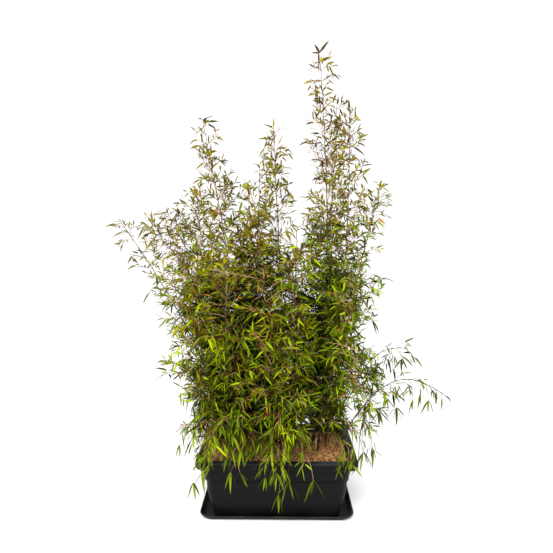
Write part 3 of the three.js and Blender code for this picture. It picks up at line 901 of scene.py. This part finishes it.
# A fan of leaves: root, heading, number of leaves, step between them along the twig, and keys. Where the
# leaves have a set length, it stands in place of the step, below zero.
fans = []
twigs = []
deep = in_core(np.array([points[2] for points, _, _ in branches]))
for (points, length, keys), inner in zip(branches, deep):
    low = part_of(700 - points[0].z, 450)
    in_plume = points[0].z > PLUME_FROM and not inner
    count = int(length / (CORE_SPACING if inner else PLUME_SPACING if in_plume else OUTER_SPACING))
    for k in range(count):
        share = TWIGS_FROM + TWIGS_ALONG * (k + between(0.2, 0.8, *keys, k, 11)) / max(count, 1)
        along = direction_along(points, share)
        side = along.cross(UP).normalized() * (1 if k % 2 else -1)
        side.rotate(Quaternion(along, between(-1.1, 1.1, *keys, k, 12)))
        direction = (along * 0.75 + side * between(0.5, 1.0, *keys, k, 13)).normalized()
        size = between(*TWIG_LENGTH, *keys, k, 14)
        bent = bend_down(point_along(points, share), direction, size, 0.1 + low * 0.35, 2)
        twigs.append((bent, keys))
        leaf_count = 1 + int(chance(*keys, k, 15) * (1.9 if in_plume else 2.8))
        fans.append((bent[-1], (bent[-1] - bent[-2]).normalized(), leaf_count, size / 4, (*keys, k)))
    heading = (points[-1] - points[-2]).normalized()
    fans.append((points[-1], heading, 2 if in_plume else 3, END_STEP, (*keys, 90)))

hanging = [(Vector(root), Vector(end), count, leaf) for root, end, count, leaf in HANGING]
for name, share, out, fall, count, leaf in ARCH_TWIGS:
    root = cane_at(CANES[name], share)
    hanging.append((root, root + Vector((out, -20, -fall)), count, leaf))
for number, (root, end, count, leaf) in enumerate(hanging):
    bend = Vector((end.x, end.y, root.z)).lerp(root, 0.35)
    twigs.append((arch(root, bend, end, 4), (number, 3)))
    fans.append((end, Vector((0, 0, -1)), count, -leaf, (number, 77)))

for group, (count, left, right, bottom, top, least_over, most_over) in enumerate(FRINGE):
    for k in range(count):
        keys = (group, k, 4)
        x = between(left, right, *keys, 81)
        over = between(least_over, most_over, *keys, 82)
        root = Vector((x, between(*FRINGE_ROOTS, *keys, 83), between(bottom, top, *keys, 84)))
        height = between(bottom, top, *keys, 86) - max(over, 0)
        end = Vector((x + between(*FRINGE_SWING, *keys, 85), RIM_FRONT - over, height))
        if over < OVER_RIM:
            end.z = max(end.z - 25, ON_RIM)
        twigs.append(([root, root.lerp(end, 0.5) + UP * between(4, 20, *keys, 87), end], keys))
        heading = Vector((between(-0.7, 0.7, *keys, 88), -0.25, -0.7)).normalized()
        fans.append((end, heading, 2 + k % 3, -between(34, 52, *keys, 89), (group, k, 79)))

for name, points, widths, habit in stems[1:]:
    fans.append((points[-1], direction_along(points, 1), 3, END_STEP, (len(fans), 5)))
tips = {name: points[-1] for name, points, _, _ in stems}
for name, heading, leaf in TIP_LEAVES:
    fans.append((tips[name], Vector(heading), 1, -leaf, (leaf, 78)))

# Each finish: its colour, then its share of the twigs low down, of those high up, of those inside the
# crown, where the dark finish is painted shade, and of the branches low down.
TWIG_FINISHES = {
    "twigs_brown": ("#7d4a20", 0.27, 0.6, 0.4, 0.45),
    "twigs_tan": ("#b39264", 0.5, 0.24, 0.12, 0.25),
    "twigs_dark": ("#422814", 0.18, 0.16, 0.48, 0.3),
}
LOW_TWIGS = 1
HIGH_TWIGS = 2
SHADED_TWIGS = 3
LOW_BRANCHES = 4
twig_bundles = {name: Bundle() for name in TWIG_FINISHES}


def deal(weights, *keys):
    """Draws one name from shares that add up to any sum."""
    left = chance(*keys) * sum(weights.values())
    for name, weight in weights.items():
        left -= weight
        if left <= 0:
            return name
    return name


def twig_finish(place, low_kind, *keys):
    """Mostly dark inside the crown, which is painted shade, brown in the plumes and tan low down."""
    inside = math.hypot(place.x / 330, place.y / 200) < 0.85
    column = SHADED_TWIGS if inside and place.z < 1000 else HIGH_TWIGS if place.z > 950 else low_kind
    return deal({name: finish[column] for name, finish in TWIG_FINISHES.items()}, *keys)


def tapered_tube(points, radius, loss, sides):
    """A tube whose radius shrinks evenly by the loss."""
    last = len(points) - 1
    return tube(points, [radius - loss * k / last for k in range(last + 1)], sides)


for name, points, widths, habit in stems:
    if habit != "plume":
        shown = 0.6 if habit == "trailer" else 1
        smooth = [point_along(points, k / 12 * shown) for k in range(13)]
        twig_bundles["twigs_dark"].add(*tapered_tube(smooth, 2.2, 1.4, 5))
for points, length, keys in branches:
    radius = 0.8 + length * 0.003
    finish = twig_finish(points[2], LOW_BRANCHES, *keys, 21)
    twig_bundles[finish].add(*tapered_tube(points, radius, radius - 0.7, 4))
for points, keys in twigs:
    finish = twig_finish(points[1], LOW_TWIGS, *keys, 22)
    twig_bundles[finish].add(*tapered_tube(points, 1.2 if len(points) == 5 else 0.9, 0.35, 3))
for name, (colour, *_) in TWIG_FINISHES.items():
    twig_bundles[name].finish(name, plain_material(name, colour, 0.6, 0.15), [], "foliage")


# ---------------------------------------------------------------------------------------------
# Leaves: thousands of small lance-shaped blades, one to five in a fan at each twig's end, folded a little
# along the midrib and arching down to a fine point. Fresh ones are yellow green, old ones dark or straw,
# and the darkest tints also paint the shade deep in the crown.
LEAF_LENGTH = 41
LOW_EXTRA = 6
HIGH_LOSS = 7
LENGTH_SPREAD = (0.6, 0.75)
LEAST_WIDTH = 1.4
HIGH_EXTRA_WIDTH = 1.8
WIDTH_SHARE = (0.09, 0.135)
HANGING_WIDTH = 1.25
LEAST_CURL = 0.02
MOST_CURL = 0.36
STRAIGHT_CURL = 0.04
LEAF_REACH = 1.04
LOWEST_LEAF = 185
LOWEST_SPREAD = 45
# Rings across a blade: how far along it, and how wide as a share of its full width.
LEAF_RINGS = [(0.1, 0.62), (0.36, 1.0), (0.7, 0.7)]
PLAIN_RINGS = [(0.2, 0.9), (0.62, 0.85)]
PLAIN_LEAVES = ["leaves_dark", "leaves_shadow", "leaves_gold", "leaves_olive"]
FOLD = 0.35
# Each tint: its colour, then its share of the leaves at the top, high up, in the middle, low down and in
# the inner shade, where the dark tints are painted shade. Straw and orange are dealt out to faded leaves
# only.
LEAF_FINISHES = {
    "leaves_lime": ("#92a406", 0.0, 0.02, 0.13, 0.13, 0.01),
    "leaves_bright": ("#6c8006", 0.02, 0.04, 0.20, 0.27, 0.02),
    "leaves_green": ("#506107", 0.02, 0.04, 0.20, 0.26, 0.06),
    "leaves_deep": ("#344108", 0.01, 0.02, 0.14, 0.18, 0.17),
    "leaves_dark": ("#161e05", 0.0, 0.01, 0.11, 0.12, 0.32),
    "leaves_shadow": ("#080d03", 0.0, 0.0, 0.02, 0.02, 0.38),
    "leaves_yellow": ("#8e8604", 0.06, 0.14, 0.04, 0.0, 0.0),
    "leaves_gold": ("#766602", 0.32, 0.27, 0.05, 0.0, 0.0),
    "leaves_moss": ("#696b02", 0.16, 0.28, 0.09, 0.01, 0.01),
    "leaves_olive": ("#534803", 0.32, 0.18, 0.05, 0.01, 0.03),
    "leaves_brown": ("#3a2e08", 0.10, 0.0, 0.0, 0.0, 0.0),
    "leaves_straw": ("#9a7f4c", 0.0, 0.0, 0.0, 0.0, 0.0),
    "leaves_orange": ("#b87518", 0.0, 0.0, 0.0, 0.0, 0.0),
}
TOP = 1
HIGH = 2
MIDDLE = 3
LOW = 4
SHADE = 5
FADED_WEIGHTS = {"leaves_straw": 0.5, "leaves_orange": 0.2, "leaves_olive": 0.3}
FADED_SHARE = 0.035
OWN_TINT_SHARE = 0.35
HANGING_TINTS = ["leaves_green", "leaves_bright", "leaves_deep", "leaves_green", "leaves_dark", "leaves_lime"]
# The yellower tints start at this height, higher towards the right, and take over by the fade.
YELLOW_FROM = 820
YELLOW_SLOPE = 0.35
YELLOW_FADE = 300
TOP_FROM = 1280
TIP_FROM = 1700
# The inner shade: half its length at the left and at the right, half its width, its top and its fade.
SHADE_HALF = (400, 250, 260)
SHADE_TOP = 1020
SHADE_FADE = 250


def leaf_weights(root, high, *keys):
    """The shares of the tints where a fan grows. The change from one level to the next is a gradual one."""
    left_half, right_half, half_width = SHADE_HALF
    level = MIDDLE if high > 0.1 and root.x < 150 else LOW
    if chance(*keys, 29) < (root.z - YELLOW_FROM - YELLOW_SLOPE * root.x) / YELLOW_FADE:
        level = TOP if root.z > TOP_FROM else HIGH
    # Deep inside the crown the fans take the inner shade's dark tints, which are painted shade.
    inside = 0.9 - math.hypot(root.x / (left_half if root.x < 0 else right_half), root.y / half_width)
    shaded = part_of(inside, 0.24) * part_of(SHADE_TOP - root.z, SHADE_FADE)
    if chance(*keys, 30) < shaded * 0.92:
        level = SHADE
    return {name: finish[level] for name, finish in LEAF_FINISHES.items()}


def hanging_tint(root, high, k):
    if root.z > TIP_FROM:
        return "leaves_brown"
    return "leaves_olive" if high > 0.5 else HANGING_TINTS[k % len(HANGING_TINTS)]


blades = []
for root, direction, count, step, keys in fans:
    high = part_of(root.z - 450, 600)
    low = part_of(420 - root.z, 200)
    hangs_free = step < 0
    weights = leaf_weights(root, high, *keys)
    fan_tint = deal(weights, *keys, 31)
    across = direction.cross(UP)
    across = across.normalized() if across.length > 0.05 else Vector((1, 0, 0))
    other = direction.cross(across)
    for k in range(count):
        spread = (k - (count - 1) / 2) * between(0.5, 1.1, *keys, k, 32) + between(-0.5, 0.5, *keys, k, 33)
        droop = between(-0.75, 0.75, *keys, k, 34) + low * between(0.1, 0.6, *keys, k, 35)
        depth = between(-0.9, 0.9, *keys, k, 36)
        length_share = LENGTH_SPREAD[0] + LENGTH_SPREAD[1] * chance(*keys, k, 37) ** 1.5
        length = (LEAF_LENGTH + LOW_EXTRA * low - HIGH_LOSS * high) * length_share
        roll = between(-1.3, 1.3, *keys, k, 38)
        tint = fan_tint
        if hangs_free:
            spread, droop, depth = (spread * 0.5, 0, depth * 0.3) if count > 1 else (0, 0, 0)
            length = -step * (between(0.85, 1.05, *keys, k, 37) if count > 1 else 1)
            roll = roll * 0.45 + (math.pi / 2 if root.z > TIP_FROM else 0)
            tint = hanging_tint(root, high, k)
        elif chance(*keys, k, 42) < FADED_SHARE * (1 - 0.6 * high):
            tint = deal(FADED_WEIGHTS, *keys, k, 43)
        elif chance(*keys, k, 40) < OWN_TINT_SHARE:
            tint = deal(weights, *keys, k, 41)
        heading = (direction + across * spread + other * depth - UP * droop).normalized()
        side = heading.cross(UP)
        side = side.normalized() if side.length > 0.05 else Vector((1, 0, 0))
        side.rotate(Quaternion(heading, roll))
        wide = length * between(*WIDTH_SHARE, *keys, k, 39) * (HANGING_WIDTH if hangs_free else 1)
        wide += LEAST_WIDTH + HIGH_EXTRA_WIDTH * high
        most_curl = STRAIGHT_CURL if hangs_free and count == 1 else MOST_CURL
        curl = between(LEAST_CURL, most_curl, *keys, k, 44)
        foot = root - direction * (k * max(step, 1))
        blades.append((foot, heading, side, length, wide, curl, tint, hangs_free))

roots, headings, sides, lengths, blade_widths, curls, tints, hangs = map(np.array, zip(*blades))
down = np.array([0, 0, -1])
ends = roots + headings * lengths[:, None] + down * (lengths * 0.12)[:, None]
apart = out_of_reach(ends)
draw = np.array([chance(k, 52) for k in range(len(ends))])
within = (apart < LEAF_REACH) & (draw > np.clip((apart - 0.5) / 0.5, 0, 1) * 0.5)
clear = (trough_room(ends, 3) > 0) & (trough_room((roots + ends) / 2, 3) > 0)
lowest = LOWEST_LEAF + LOWEST_SPREAD * np.array([chance(k, 51) for k in range(len(ends))])
kept = ((within | in_core(ends)) & clear & (ends[:, 2] > lowest)) | hangs
ridges = np.cross(sides, headings)


def blade_points(chosen, rings):
    """The points of the chosen leaves, one row each: the root, three across at each ring, and the tip."""
    root, heading, side, ridge = roots[chosen], headings[chosen], sides[chosen], ridges[chosen]
    length, half, curl = lengths[chosen][:, None], blade_widths[chosen][:, None] / 2, curls[chosen][:, None]
    shape = [root]
    for share, wide in rings:
        middle = root + heading * length * share + down * length * curl * share ** 2
        lift = ridge * half * wide * FOLD
        shape += [middle - side * half * wide + lift, middle, middle + side * half * wide + lift]
    shape.append(root + heading * length + down * length * curl)
    return np.stack(shape, axis=1)


def blade_faces(ring_count):
    faces = [(0, 2, 1), (0, 3, 2)]
    for ring in range(ring_count - 1):
        a = 1 + ring * 3
        faces += [(a, a + 1, a + 4, a + 3), (a + 1, a + 2, a + 5, a + 4)]
    a = 1 + (ring_count - 1) * 3
    return faces + [(a, a + 1, a + 3), (a + 1, a + 2, a + 3)]


for name, (colour, *_) in LEAF_FINISHES.items():
    rings = PLAIN_RINGS if name in PLAIN_LEAVES else LEAF_RINGS
    points = blade_points(kept & (tints == name), rings)
    blade = blade_faces(len(rings))
    starts = range(0, points.shape[0] * points.shape[1], points.shape[1])
    faces = [tuple(start + i for i in face) for start in starts for face in blade]
    leaves = link_mesh(name, points.reshape(-1, 3), faces, plain_material(name, colour, 0.5, 0.05))
    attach(leaves, "root")
    if name == "leaves_green":
        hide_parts(*[stem[0] for stem in stems])


# ---------------------------------------------------------------------------------------------
# Setting: a plain pale floor and soft studio light from above and in front.
FLOOR_REACH = 9000
LIGHT_TARGET = Vector((0, 0, 0.9))
# Each light: where it stands, its width in metres, and its power.
LIGHTS = {"key": ((-1.1, -2.9, 3.3), 2.6, 175), "fill": ((2.4, -2.4, 2.2), 2.4, 40)}
corners = [(x * FLOOR_REACH, y * FLOOR_REACH, 0) for x, y in [(-1, -1), (1, -1), (1, 1), (-1, 1)]]
floor_paint, paint = new_material("floor")
paint.surface((0.98, 0.98, 0.98, 1), 0.9)
floor = link_mesh("floor", corners, [(0, 1, 2, 3)], floor_paint)

world = bpy.data.worlds.new("studio")
world.use_nodes = True
world.node_tree.nodes["Background"].inputs["Color"].default_value = (1, 1, 1, 1)
world.node_tree.nodes["Background"].inputs["Strength"].default_value = 1.12
bpy.context.scene.world = world
for name, (place, size, power) in LIGHTS.items():
    light_data = bpy.data.lights.new(name, "AREA")
    light_data.size = size
    light_data.energy = power
    light = bpy.data.objects.new(name, light_data)
    light.location = place
    light.rotation_euler = (LIGHT_TARGET - Vector(place)).to_track_quat("-Z", "Y").to_euler()
    bpy.context.collection.objects.link(light)
